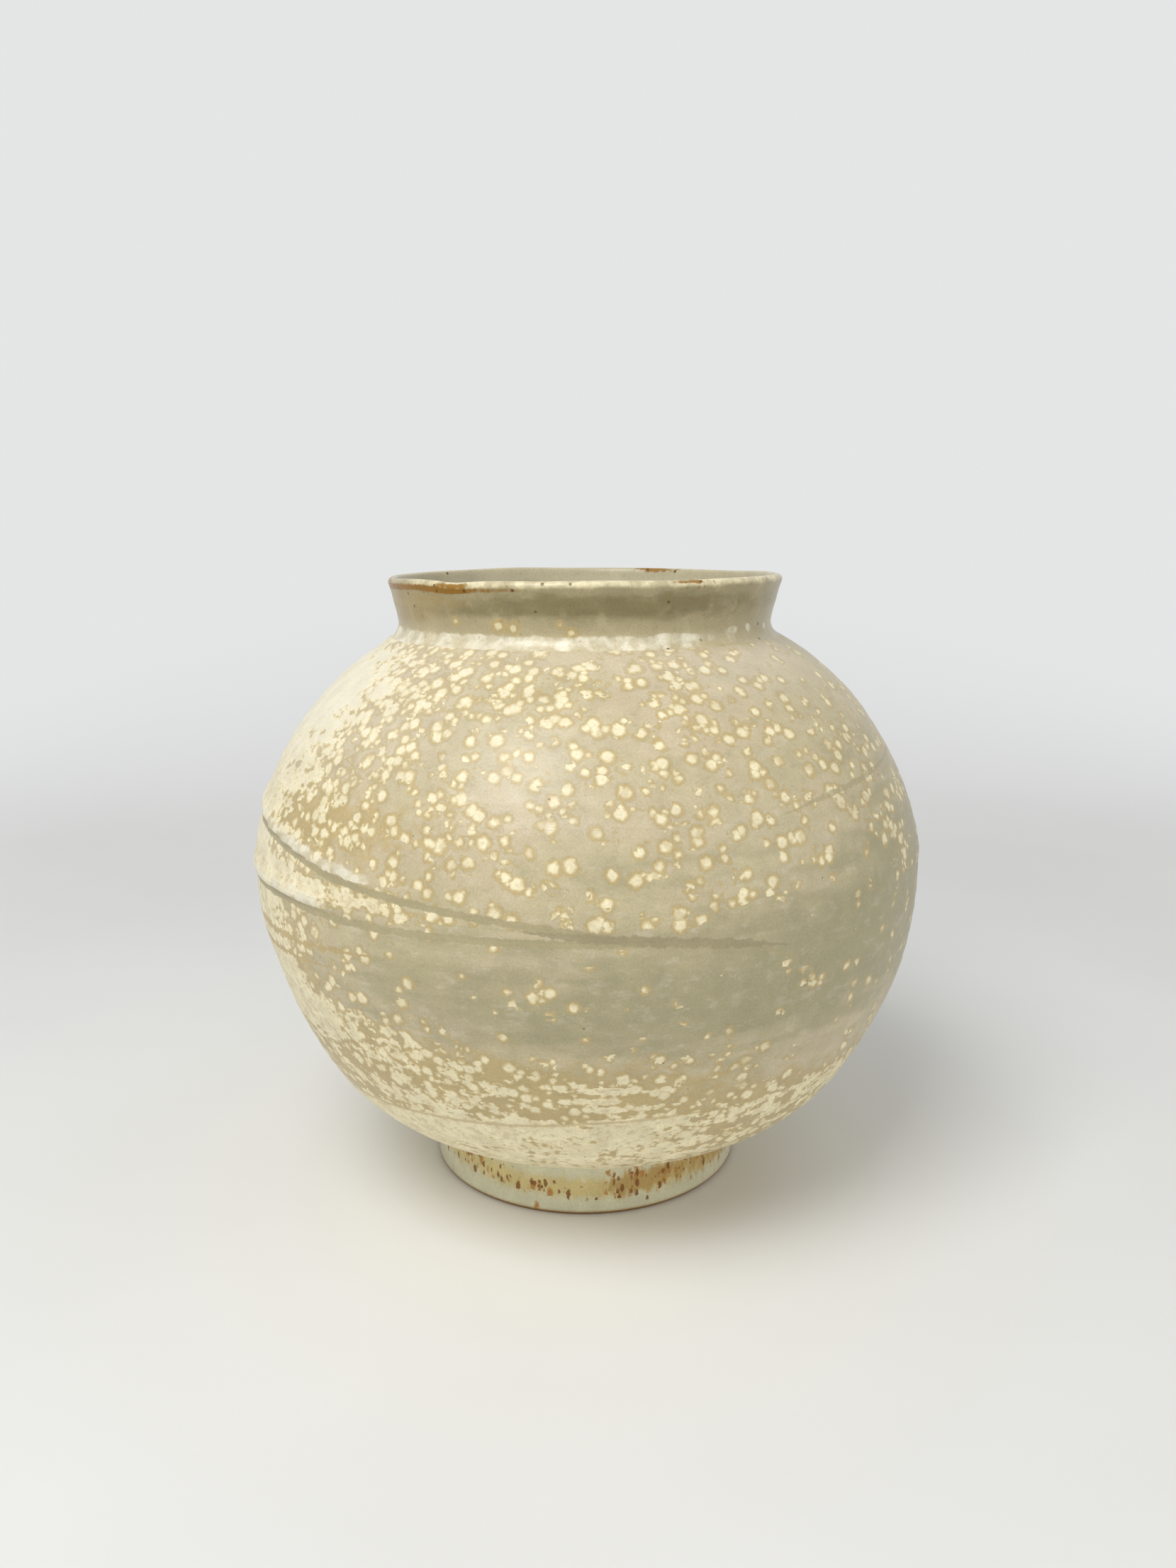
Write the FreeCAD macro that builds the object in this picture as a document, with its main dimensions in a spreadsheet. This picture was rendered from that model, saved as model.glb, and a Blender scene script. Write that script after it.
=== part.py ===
"""A moon jar: two thrown bowls luted rim to rim, with a foot ring below and a neck collar above.

Every piece is a turned form, so each is one closed outline, radius across and height up, revolved
about the jar's upright axis. A ring of slip of even thickness lies in each luted joint. The foot and
the collar are luted on flat. The bowls' joint at the belly is keyed, because it carries the upper half
while the clay is soft: a V tongue under the upper rim stands in a V groove round the lower one.
"""
import FreeCAD, Part
import math
import os
import Sketcher

# Driving dimensions in millimetres. Names ending in share are plain ratios.
SIZES = {
    "foot_radius": "64",
    "foot_height": "24.2",
    "foot_seat_wall": "10",
    "foot_base_wall": "8",
    "foot_bevel": "1.1",
    "belly_radius": "134.2",
    "lower_bowl_height": "110",
    "rim_band": "5",
    "upper_bowl_height": "87.4",
    "body_wall": "6",
    "floor_thickness": "9",
    "neck_radius": "74.4",
    "neck_height": "21",
    "neck_wall": "5",
    "lip_thickness": "3.6",
    "lip_flare": "3.2",
    "slip_thickness": "0.8",
    "key_depth": "2",
    "key_width_share": "0.5",
    "shoulder_in_share": "0.027",
    "shoulder_up_share": "0.15",
    "flank_in_share": "0.045",
    "flank_down_share": "0.242",
    "hip_in_share": "0.32",
    "hip_down_share": "0.694",
}

# How a sketch numbers the points of an edge, its own origin and its own axes.
START, END, CENTRE = range(1, 4)
ORIGIN = -1
LEVEL_AXIS, UPRIGHT_AXIS = range(-1, -3, -1)

doc = FreeCAD.newDocument("moon_jar")
sheet = doc.addObject("Spreadsheet::Sheet", "Sizes")
for row, (alias, number) in enumerate(SIZES.items(), start=1):
    sheet.set("A%d" % row, alias)
    sheet.set("B%d" % row, number)
    sheet.setAlias("B%d" % row, alias)
doc.recompute()


def size(name):
    """The name of a sheet value, as expressions write it."""
    return "Sizes." + name


def value(expression):
    """The number that an expression of named sizes comes to."""
    return float(sheet.evalExpression(expression))


def point(place):
    """A radius and a height, as a vector in the sketch's own plane."""
    radius, height = place
    return FreeCAD.Vector(value(radius), value(height), 0)


# Places that several pieces share, as expressions of the driving dimensions.
BELLY_RADIUS = size("belly_radius")
BELLY_INSIDE = "(Sizes.belly_radius - Sizes.body_wall)"
FOOT_RADIUS = size("foot_radius")
FOOT_SEAT_INSIDE = "(Sizes.foot_radius - Sizes.foot_seat_wall)"
NECK_RADIUS = size("neck_radius")
NECK_INSIDE = "(Sizes.neck_radius - Sizes.neck_wall)"
BOWL_BASE = "(Sizes.foot_height + Sizes.slip_thickness)"
BOWL_RIM = "(%s + Sizes.lower_bowl_height)" % BOWL_BASE
UPPER_BASE = "(%s + Sizes.slip_thickness)" % BOWL_RIM
NECK_SEAT = "(%s + Sizes.upper_bowl_height)" % UPPER_BASE
NECK_BASE = "(%s + Sizes.slip_thickness)" % NECK_SEAT


def belly_key(level):
    """The three corners of the belly joint's V, from the outside in, hanging from a level in mid wall."""
    middle = "(Sizes.belly_radius - Sizes.body_wall / 2)"
    half = "Sizes.body_wall / 2 * Sizes.key_width_share"
    tip = "%s - Sizes.key_depth" % level
    return [("%s + %s" % (middle, half), level), (middle, tip), ("%s - %s" % (middle, half), level)]


def bend(start, end, direction):
    """Centre of the arc that leaves start along direction and passes through end, and its end direction."""
    normal = FreeCAD.Vector(-direction.y, direction.x, 0)
    chord = end - start
    reach = chord.dot(chord) / (2 * chord.dot(normal))
    centre = start + normal * reach
    along = FreeCAD.Vector(chord).normalize()
    return centre, along * (2 * along.dot(direction)) - direction


def angle(centre, spot):
    return math.atan2(spot.y - centre.y, spot.x - centre.x)


def new_body(label, base="0"):
    """An empty body standing at a height above the floor."""
    body = doc.addObject("PartDesign::Body", label)
    body.Label = label
    body.setExpression("Placement.Base.z", base)
    return body


def new_sketch(body):
    """A sketch on the body's upright plane: its own x is the radius and its own y the height."""
    plane = next(p for p in body.Origin.OriginFeatures if p.Role == "XZ_Plane")
    sketch = body.newObject("Sketcher::SketchObject", body.Label + "_outline")
    sketch.AttachmentSupport = [(plane, "")]
    sketch.MapMode = "FlatFace"
    return sketch


def pin(sketch, edge, end, radius=None, height=None):
    """Holds an end or centre of an edge at a radius, a height or both."""
    for kind, place, axis in (("DistanceX", radius, UPRIGHT_AXIS), ("DistanceY", height, LEVEL_AXIS)):
        if place is None:
            continue
        if value(place) == 0:
            sketch.addConstraint(Sketcher.Constraint("PointOnObject", edge, end, axis))
            continue
        number = sketch.addConstraint(Sketcher.Constraint(kind, ORIGIN, START, edge, end, value(place)))
        sketch.setExpression("Constraints[%d]" % number, place)


def join(sketch, edge, end, other, other_end):
    sketch.addConstraint(Sketcher.Constraint("Coincident", edge, end, other, other_end))


def blend(sketch, edge, end, other, other_end):
    """Joins two edges end to end with no corner between them."""
    sketch.addConstraint(Sketcher.Constraint("Tangent", edge, end, other, other_end))


def add_arc(sketch, centre, start, end):
    """An arc, anticlockwise from start to end."""
    circle = Part.Circle(centre, FreeCAD.Vector(0, 0, 1), (start - centre).Length)
    return sketch.addGeometry(Part.ArcOfCircle(circle, angle(centre, start), angle(centre, end)), False)


def add_lines(sketch, places, after=None, before=None):
    """A run of straight edges through places, every corner held where the sizes put it.

    after and before name the edge end that the run starts from or comes back to, as (edge, end).
    """
    edges = []
    for here, there in zip(places, places[1:]):
        edge = sketch.addGeometry(Part.LineSegment(point(here), point(there)), False)
        if edges:
            join(sketch, edges[-1], END, edge, START)
        if edges or after is None:
            pin(sketch, edge, START, *here)
        else:
            join(sketch, edge, START, *after)
        edges.append(edge)
    if before is not None:
        join(sketch, edges[-1], END, *before)
    return edges


def add_wall(sketch, places, upward):
    """The body's outside, as tangent arcs through places from the belly, and the same arcs one wall in.

    The belly is where the wall stands upright. Returns the outer and the inner arcs, belly first, with
    the end of each arc that is nearer the belly and the end that is further from it.
    """
    near, far = (START, END) if upward else (END, START)
    direction = FreeCAD.Vector(0, 1 if upward else -1, 0)
    spots = [point(place) for place in places]
    thickness = value(size("body_wall"))
    outer, inner = [], []
    for here, there in zip(spots, spots[1:]):
        centre, direction = bend(here, there, direction)
        ends = (here, there) if upward else (there, here)
        outer.append(add_arc(sketch, centre, *ends))
        drawn_in = [centre + (spot - centre) * (1 - thickness / (spot - centre).Length) for spot in ends]
        inner.append(add_arc(sketch, centre, *drawn_in))
    pin(sketch, outer[0], CENTRE, height=places[0][1])
    pin(sketch, outer[0], near, *places[0])
    pin(sketch, inner[0], near, BELLY_INSIDE, places[0][1])
    for edge, place in zip(outer, places[1:]):
        pin(sketch, edge, far, *place)
    for edges in (outer, inner):
        for edge, following in zip(edges, edges[1:]):
            blend(sketch, edge, far, following, near)
    for edge, inside in zip(outer, inner):
        join(sketch, inside, CENTRE, edge, CENTRE)
    return outer, inner, near, far


def revolve(body, sketch):
    """Turns the closed outline about the jar's axis."""
    turned = body.newObject("PartDesign::Revolution", body.Label + "_turned")
    turned.Profile = sketch
    turned.ReferenceAxis = (sketch, ["V_Axis"])
    turned.Angle = 360
    sketch.Visibility = False
    body.Tip = turned
    return body


def add_ring(sketch, corners):
    """A closed outline of straight edges."""
    edges = add_lines(sketch, corners + corners[:1])
    join(sketch, edges[-1], END, edges[0], START)


def foot_ring():
    """Turned foot: a ring, thicker at its seat, with its edges bevelled where it stands."""
    body = new_body("foot_ring")
    sketch = new_sketch(body)
    bevel = size("foot_bevel")
    top = size("foot_height")
    inside = "(Sizes.foot_radius - Sizes.foot_base_wall)"
    corners = [
        ("%s - %s" % (FOOT_RADIUS, bevel), "0"),
        (FOOT_RADIUS, bevel),
        (FOOT_RADIUS, top),
        (FOOT_SEAT_INSIDE, top),
        (inside, bevel),
        ("%s + %s" % (inside, bevel), "0"),
    ]
    add_ring(sketch, corners)
    return revolve(body, sketch)


def slip_ring(label, base, outer, inner, keyed=False):
    """Luting slip: an even ring between two pieces, which follows the V of a keyed joint."""
    body = new_body(label, base)
    sketch = new_sketch(body)
    top = size("slip_thickness")
    above = belly_key(top) if keyed else []
    below = belly_key("0") if keyed else []
    corners = [(outer, "0"), (outer, top), *above, (inner, top), (inner, "0"), *reversed(below)]
    add_ring(sketch, corners)
    return revolve(body, sketch)


def lower_bowl():
    """Lower half of the body: round-sided, with a level floor and an upright band under its grooved rim."""
    body = new_body("lower_bowl", BOWL_BASE)
    sketch = new_sketch(body)
    rim = size("lower_bowl_height")
    belly = "(Sizes.lower_bowl_height - Sizes.rim_band)"
    spread = "(Sizes.belly_radius - Sizes.foot_radius)"
    places = [(BELLY_RADIUS, belly)]
    for form in ("flank", "hip"):
        radius = "%s - %s * Sizes.%s_in_share" % (BELLY_RADIUS, spread, form)
        places.append((radius, "%s * (1 - Sizes.%s_down_share)" % (belly, form)))
    places.append((FOOT_RADIUS, "0"))
    outer, inner, near, far = add_wall(sketch, places, upward=False)
    floor = size("floor_thickness")
    pin(sketch, inner[-1], far, height=floor)
    base = [places[-1], ("0", "0"), ("0", floor), (FOOT_SEAT_INSIDE, floor)]
    add_lines(sketch, base, after=(outer[-1], far), before=(inner[-1], far))
    band = [places[0], (BELLY_RADIUS, rim), *belly_key(rim), (BELLY_INSIDE, rim), (BELLY_INSIDE, belly)]
    add_lines(sketch, band, after=(outer[0], near), before=(inner[0], near))
    return revolve(body, sketch)


def upper_bowl():
    """Upper half of the body: a domed bowl, tongued round its rim and cut open at the top for the collar."""
    body = new_body("upper_bowl", UPPER_BASE)
    sketch = new_sketch(body)
    seat = size("upper_bowl_height")
    spread = "(Sizes.belly_radius - Sizes.neck_radius)"
    shoulder = ("%s - %s * Sizes.shoulder_in_share" % (BELLY_RADIUS, spread),
                "%s * Sizes.shoulder_up_share" % seat)
    places = [(BELLY_RADIUS, "0"), shoulder, (NECK_RADIUS, seat)]
    outer, inner, near, far = add_wall(sketch, places, upward=True)
    pin(sketch, inner[-1], far, radius=NECK_INSIDE)
    under_seat = "%s - %s" % (seat, size("body_wall"))
    opening = [places[-1], (NECK_INSIDE, seat), (NECK_INSIDE, under_seat)]
    add_lines(sketch, opening, after=(outer[-1], far), before=(inner[-1], far))
    rim = [places[0], *belly_key("0"), (BELLY_INSIDE, "0")]
    add_lines(sketch, rim, after=(outer[0], near), before=(inner[0], near))
    return revolve(body, sketch)


def neck_collar():
    """Thrown collar: upright at its base and flaring to a rounded lip."""
    body = new_body("neck_collar", NECK_BASE)
    sketch = new_sketch(body)
    half_lip = "Sizes.lip_thickness / 2"
    lip_place = ("%s + Sizes.lip_flare - %s" % (NECK_RADIUS, half_lip), "Sizes.neck_height - %s" % half_lip)
    base, inside = point((NECK_RADIUS, "0")), point((NECK_INSIDE, "0"))
    lip_centre, round_radius = point(lip_place), value(half_lip)

    # The outside is one hollow arc that stands upright at the base and touches the lip's round.
    across = base.x - lip_centre.x
    hollow = (across ** 2 + lip_centre.y ** 2 - round_radius ** 2) / (2 * (round_radius - across))
    hollow_centre = base + FreeCAD.Vector(hollow, 0, 0)
    outer_touch = lip_centre + (hollow_centre - lip_centre).normalize() * round_radius

    # The inside is one straight line that touches the lip's round on the side of the axis.
    reach = lip_centre - inside
    slant = math.atan2(reach.y, reach.x) + math.asin(round_radius / reach.Length)
    inner_touch = lip_centre + FreeCAD.Vector(-math.sin(slant), math.cos(slant), 0) * round_radius

    outside = add_arc(sketch, hollow_centre, outer_touch, base)
    lip = add_arc(sketch, lip_centre, outer_touch, inner_touch)
    inner_side = sketch.addGeometry(Part.LineSegment(inner_touch, inside), False)
    pin(sketch, outside, CENTRE, height="0")
    pin(sketch, outside, END, NECK_RADIUS, "0")
    pin(sketch, lip, CENTRE, *lip_place)
    number = sketch.addConstraint(Sketcher.Constraint("Radius", lip, round_radius))
    sketch.setExpression("Constraints[%d]" % number, half_lip)
    blend(sketch, lip, START, outside, START)
    blend(sketch, lip, END, inner_side, START)
    pin(sketch, inner_side, END, NECK_INSIDE, "0")
    seat = sketch.addGeometry(Part.LineSegment(base, inside), False)
    join(sketch, seat, START, outside, END)
    join(sketch, seat, END, inner_side, END)
    return revolve(body, sketch)


pieces = [
    foot_ring(),
    slip_ring("foot_slip", size("foot_height"), FOOT_RADIUS, FOOT_SEAT_INSIDE),
    lower_bowl(),
    slip_ring("belly_slip", BOWL_RIM, BELLY_RADIUS, BELLY_INSIDE, keyed=True),
    upper_bowl(),
    slip_ring("neck_slip", NECK_SEAT, NECK_RADIUS, NECK_INSIDE),
    neck_collar(),
]
doc.recompute()

for item in doc.Objects:
    if "Invalid" in item.State or "Error" in item.State:
        raise RuntimeError("%s did not build: %s" % (item.Label, item.State))
for piece in pieces:
    if piece.Shape.isNull() or not piece.Shape.isValid() or len(piece.Shape.Solids) != 1:
        raise RuntimeError("%s is not one sound solid" % piece.Label)

os.makedirs("parts", exist_ok=True)
for piece in pieces:
    piece.Shape.exportStep("parts/%s.step" % piece.Label)
    box = piece.Shape.optimalBoundingBox()
    print("%-12s %9.1f mm3  z %7.2f to %7.2f  radius %7.2f"
          % (piece.Label, piece.Shape.Volume, box.ZMin, box.ZMax, box.XMax))
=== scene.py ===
"""A moon jar, thrown, luted and glazed round its construction model.

Each clay form is an outline traced beside the jar's axis and turned once round it, as on a wheel. One
set of dents, swellings and stripes is then pressed into all of them alike, so that the surface runs on
from piece to piece. The glazes read what was painted on the clay as attributes.
"""

import math

import bpy
import numpy as np
from bpy.props import FloatProperty, FloatVectorProperty, IntProperty, PointerProperty
from mathutils import Matrix, Vector


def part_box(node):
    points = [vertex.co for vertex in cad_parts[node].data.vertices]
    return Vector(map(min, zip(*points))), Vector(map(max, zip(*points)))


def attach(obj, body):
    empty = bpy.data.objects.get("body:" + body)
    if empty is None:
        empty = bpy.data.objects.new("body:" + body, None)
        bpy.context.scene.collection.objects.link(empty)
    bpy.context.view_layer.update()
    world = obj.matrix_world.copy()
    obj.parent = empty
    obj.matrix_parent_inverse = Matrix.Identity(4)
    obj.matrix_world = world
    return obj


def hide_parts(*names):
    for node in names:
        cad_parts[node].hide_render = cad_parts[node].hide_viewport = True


bl_info = {
    "name": "Moon Jar",
    "version": (1, 0, 0),
    "blender": (4, 5, 0),
    "location": "View3D > Sidebar > Moon Jar",
    "description": "Throws, lutes and glazes a moon jar round its construction model",
    "category": "Object",
}

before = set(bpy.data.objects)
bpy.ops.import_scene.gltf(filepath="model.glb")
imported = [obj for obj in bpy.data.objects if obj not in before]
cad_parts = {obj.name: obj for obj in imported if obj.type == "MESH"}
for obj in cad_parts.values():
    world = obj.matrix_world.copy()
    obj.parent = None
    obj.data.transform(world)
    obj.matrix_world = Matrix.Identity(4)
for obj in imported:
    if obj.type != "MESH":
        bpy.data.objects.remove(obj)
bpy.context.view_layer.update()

MM = 0.001
_, FOOT_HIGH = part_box("foot_ring")
BOWL_LOW, BOWL_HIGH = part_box("lower_bowl")
_, DOME_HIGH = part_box("upper_bowl")
NECK_LOW, NECK_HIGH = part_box("neck_collar")
_, NECK_SLIP_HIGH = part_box("neck_slip")
# The slip is as thick in the belly joint as it is under the neck.
SEAM_LOW, SEAM_HIGH = BOWL_HIGH.z, BOWL_HIGH.z + NECK_LOW.z - DOME_HIGH.z

FOOT_RADIUS = FOOT_HIGH.x
BELLY_RADIUS = BOWL_HIGH.x
NECK_RADIUS = NECK_SLIP_HIGH.x


def seen(red, green, blue):
    """A colour as a picture shows it, 0 to 255, in the linear values that a shader takes."""
    shares = (channel / 255 for channel in (red, green, blue))
    return tuple(s / 12.92 if s <= 0.04045 else ((s + 0.055) / 1.055) ** 2.4 for s in shares)


def length_property(name, default, description):
    return FloatProperty(name=name, default=default, description=description, unit="LENGTH",
                         precision=5)


def colour_property(name, default, description):
    return FloatVectorProperty(name=name, default=default, description=description, subtype="COLOR",
                               size=3, min=0, max=1)


class JarForm(bpy.types.PropertyGroup):
    """Sizes of the thrown forms that a potter would change."""

    wall: length_property("Wall", 6 * MM, "Thickness of the body's wall")
    floor: length_property("Floor", 9 * MM, "Thickness of the clay over the foot")
    rim_band: length_property("Rim band", 5 * MM, "Upright band under the belly joint")
    lip: length_property("Lip", 1.7 * MM, "Radius of the rounded lip")
    neck_sweep: length_property("Neck sweep", 6.5 * MM, "Hollow where the neck meets the shoulder")
    neck_wall: length_property("Neck wall", 5 * MM, "Thickness of the neck at the shoulder")
    inside_sweep: length_property("Inside sweep", 9 * MM, "Curve inside, from neck to shoulder")
    foot_wall: length_property("Foot wall", 8 * MM, "Thickness of the foot where it stands")
    foot_bevel: length_property("Foot bevel", 1.1 * MM, "Height of the bare turned edge of the foot")
    bare_edge: length_property("Bare edge", 1.9 * MM, "Height of bare clay at the foot's base")
    ring_depth: length_property("Throwing rings", 0.07 * MM, "Depth of the fingers' rings in the body")
    roll: length_property("Glaze roll", 1.3 * MM, "How far the thick glaze stands proud")
    turns: IntProperty(name="Facets round", default=512, min=64, max=720,
                       description="Number of steps in one turn of an outline")


class JarGlaze(bpy.types.PropertyGroup):
    """Colours and grain of the fired surface."""

    ground: colour_property("Ground", seen(198, 185, 148), "Grey-beige of the body between its flecks")
    blush: colour_property("Blush", seen(206, 190, 157), "Warmer, pinkish places of the ground")
    celadon: colour_property("Celadon", seen(173, 164, 128), "Grey-green bands of the ground")
    # Also painted over the top front as its sheen.
    wisp_and_sheen: colour_property("Wisp", seen(218, 206, 182), "Thin milky wisps in the ground")
    halo: colour_property("Halo", seen(194, 171, 118), "Ochre glaze round the flecks and in their gaps")
    fleck: colour_property("Fleck", seen(247, 235, 194), "Cream flecks")
    white: colour_property("White", seen(240, 233, 209), "Thick white glaze of the rolls")
    stripe: colour_property("Stripe", seen(177, 165, 127), "Thin glaze of the long stripes")
    collar: colour_property("Collar", seen(172, 160, 124), "Olive-beige of the neck")
    collar_band: colour_property("Collar band", seen(137, 127, 89), "Darker band round the neck")
    inside: colour_property("Inside", seen(199, 189, 157), "Pale glaze inside the jar")
    ochre: colour_property("Ochre", seen(148, 103, 1), "Glaze that burned yellow on thin edges")
    clay: colour_property("Clay", seen(158, 116, 46), "Bare fired clay")
    foot_white: colour_property("Foot white", seen(228, 224, 192), "Greenish white glaze of the foot")
    foot_band: colour_property("Foot band", seen(224, 202, 128), "Yellow band round the foot")
    amber: colour_property("Amber", seen(192, 130, 46), "Amber drips on the foot")
    foot_tan: colour_property("Foot tan", seen(195, 158, 90), "Tan smear on the foot")
    rust: colour_property("Rust", seen(134, 80, 16), "Rust drips on the foot and specks elsewhere")
    fleck_size: length_property("Fleck size", 5.8 * MM, "Distance between the large flecks")


class JarStage(bpy.types.PropertyGroup):
    """Camera, light and floor."""

    distance: length_property("Camera distance", 495.94 * MM, "From the jar's axis to the camera")
    height: length_property("Camera height", 262.01 * MM, "From the floor to the camera")
    focal: FloatProperty(name="Lens", default=27.99, unit="CAMERA", description="Focal length")
    key_power: FloatProperty(name="Key", default=12.3, unit="POWER", description="Lamp at the upper left")
    fill_power: FloatProperty(name="Fill", default=1.35, unit="POWER", description="Lamp at the right")
    sky: FloatProperty(name="Sky", default=0.5, description="Strength of the even light from all round")
    floor_colour: colour_property("Floor", (0.84, 0.84, 0.82), "Colour of the floor")


# How the camera looks down, leans and turns, how far it stands to the right, and its sensor's width.
CAMERA_TILT = math.radians(11.756)
CAMERA_ROLL = math.radians(-0.353)
CAMERA_TURN = math.radians(-0.033)
CAMERA_ASIDE = 0.25 * MM
SENSOR = 36.0

# Lamps: size and place. Both are aimed at the belly.
KEY_SIZE, KEY_PLACE = 0.75, Vector((-0.44, -0.72, 1.3))
FILL_SIZE, FILL_PLACE = 0.9, Vector((0.95, -0.55, 0.55))
LIT_PLACE = Vector((0, 0, 0.12))

# The floor runs up into a backdrop, and shows paler between two distances from the jar.
FLOOR_REACH = 1.6
FLOOR_CURVE, FLOOR_CURVE_STEPS = 0.6 * FLOOR_REACH, 24
FLOOR_ROUGHNESS = 0.55
PALER_FROM, PALEST_FROM = 0.45, 1.3
BACKDROP_COLOUR = (0.78, 0.79, 0.79)
SKY_LIGHT = (0.98, 0.99, 1.0)
SKY_SHOWN = (0.86, 0.87, 0.88)

# Shape of the outside, as shares of each bowl's own height and spread.
FLANK_IN_SHARE, FLANK_DOWN_SHARE = 0.045, 0.242
HIP_IN_SHARE, HIP_DOWN_SHARE = 0.32, 0.694
SHOULDER_IN_SHARE, SHOULDER_UP_SHARE = 0.027, 0.15

DOWN, UP = Vector((0, -1)), Vector((0, 1))
SHARP = math.radians(50)
SAME_PLACE = 0.02 * MM
FINE_STEP = 1.5 * MM
COARSE_STEP = 4.5 * MM
LIP_STEP = 0.5 * MM

# How much thicker the foot is at its top, how far from the wall the floor curves up, and how wide the
# cut edge of the dome is.
FOOT_TAPER = 2 * MM
PAN_CURVE = 2.5 * COARSE_STEP
DOME_EDGE = Vector((MM, 0))

# The neck's inner sweep stands a little proud of the dome, and its outer one ends inside it.
INSIDE_PROUD = 0.3 * MM
BURIED = Vector((-0.6 * MM, -1.2 * MM))

# The rounded lip: where the outside runs into it, in lip radii, then degrees at its first point,
# degrees between points, and how many.
LIP_JOIN = Vector((0.97, -0.25))
LIP_FIRST, LIP_TURN, LIP_POINTS = 5.5, 13.5, 12

# How fast the body's surface turns up or down away from the belly joint.
ROUNDING = 1.5

# Sorts of fleck: spacing in fleck sizes, cover at which they begin, how fast they fill in, the least
# radius in millimetres, and how much more chance and crowding give it.
FLECK_SORTS = (
    (1.0, 0.0, 1.25, 1.25, 0.7, 0.8),
    (0.62, 0.0, 0.75, 0.75, 0.5, 0.6),
    (0.78, 0.5, 2.2, 1.15, 0.6, 0.8),
)


def turned(vector):
    """A direction in the outline's plane, a quarter turn anticlockwise."""
    return Vector((-vector.y, vector.x))


def arc_between(start, end, direction, step):
    """Points after start on the arc that leaves along direction to end, and the direction there."""
    normal = turned(direction)
    chord = end - start
    reach = chord.length_squared / (2 * chord.dot(normal))
    centre = start + normal * reach
    first = math.atan2(start.y - centre.y, start.x - centre.x)
    last = math.atan2(end.y - centre.y, end.x - centre.x)
    sweep = (last - first + math.pi) % (2 * math.pi) - math.pi
    count = max(2, round(abs(sweep * reach) / step))
    points = []
    for number in range(1, count + 1):
        angle = first + sweep * number / count
        points.append(centre + Vector((math.cos(angle), math.sin(angle))) * abs(reach))
    along = chord.normalized()
    return points, along * (2 * along.dot(direction)) - direction


def arcs_through(places, direction, step):
    """Tangent arcs through places, first place included."""
    outline = [places[0]]
    for here, there in zip(places, places[1:]):
        points, direction = arc_between(here, there, direction, step)
        outline += points
    return outline


def straight(start, end, step):
    """Points after start on the straight line to end."""
    count = max(1, round((end - start).length / step))
    return [start.lerp(end, number / count) for number in range(1, count + 1)]


def bowl_places():
    """Places that the lower bowl's outside passes through, from the widest place down to the foot."""
    belly = BOWL_HIGH.z - bpy.context.scene.jar_form.rim_band
    height = belly - BOWL_LOW.z
    spread = BELLY_RADIUS - FOOT_RADIUS
    places = [Vector((BELLY_RADIUS, belly))]
    for inward, down in ((FLANK_IN_SHARE, FLANK_DOWN_SHARE), (HIP_IN_SHARE, HIP_DOWN_SHARE)):
        places.append(Vector((BELLY_RADIUS - spread * inward, belly - height * down)))
    return places + [Vector((FOOT_RADIUS, BOWL_LOW.z))]


def dome_places():
    """Places that the upper bowl's outside passes through, from the belly joint up to the neck."""
    height = DOME_HIGH.z - SEAM_HIGH
    spread = BELLY_RADIUS - NECK_RADIUS
    return [
        Vector((BELLY_RADIUS, SEAM_HIGH)),
        Vector((BELLY_RADIUS - spread * SHOULDER_IN_SHARE, SEAM_HIGH + height * SHOULDER_UP_SHARE)),
        Vector((NECK_RADIUS, DOME_HIGH.z)),
    ]


def wall_inside(outline, thickness):
    """The outline again, one wall further in."""
    inner = []
    for number, point in enumerate(outline):
        before = outline[max(number - 1, 0)]
        after = outline[min(number + 1, len(outline) - 1)]
        inner.append(point + turned((after - before).normalized()) * thickness)
    return inner


# What the hand left in the clay and the glaze. Azimuths are in degrees, 0 at the front and growing
# towards +X, and heights and amounts are in millimetres.

# Azimuth, height, half the width, half the height, how far out.
SWELLINGS = (
    (-84, 202, 42, 9, -0.5), (-86, 216, 45, 6, -1.2), (82, 200, 40, 10, 0.8), (86, 215, 44, 6, 0.7),
    (80, 74, 38, 11, 0.6), (82, 92, 40, 15, 1.2), (-84, 98, 36, 11, -0.6), (86, 141, 30, 5, 0.35),
    (170, 168, 45, 16, 0.6), (-155, 92, 40, 18, -0.6),
)

# How much of the swellings and waves each height takes, and how full the neck is.
BODY_SHARES = (26, 40, 218, 223.2), (0, 1, 1, 0.35)
NECK_FULLNESS = (227, 235, 241, 245), (0, 1.0, 0.8, 0.5)

# Throwing rings: height of one, strength, times round that it wavers, how much, and its drift.
FINGER_RINGS = ((7.3, 1.0, 1, 0.9, 19), (3.1, 0.5, 2, 1.3, 11))

# Slow waves round the jar: times round, degrees turned, amount, degrees of twist per height.
WAVES = ((2, 25, 0.22, 0.4), (3, 110, 0.14, -0.7), (5, 300, 0.07, 1.1))

# Sideways lean of the jar by height.
LEAN = (0, 24, 30, 130, 223, 245), (-1.5, -1.3, 0.9, 0.2, -0.4, 0)

# The lip: times round, degrees turned, amount, then its one low place, and how much of all this each
# height takes.
LIP_WAVES = ((2, 40, 0.25), (3, 200, 0.18), (7, 80, 0.1), (11, 10, 0.06))
LIP_DIP = (-37, 7, -0.75)
LIP_SHARES = (228, 242), (0, 1)

# Inside this radius the clay moves out less and less, down to nothing at the jar's axis.
CALM_MIDDLE = 20 * MM

# How far the stripes' thin glaze lies below the rest, how wide their tips are as a share, and how many
# half widths away a place counts as far.
STRIPE_DEPTHS = (("stripe_long", 0.06), ("stripe_joint", 0.06), ("stripe_low", 0.04))
STRIPE_TIP, STRIPE_FAR = 0.02, 40

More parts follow.
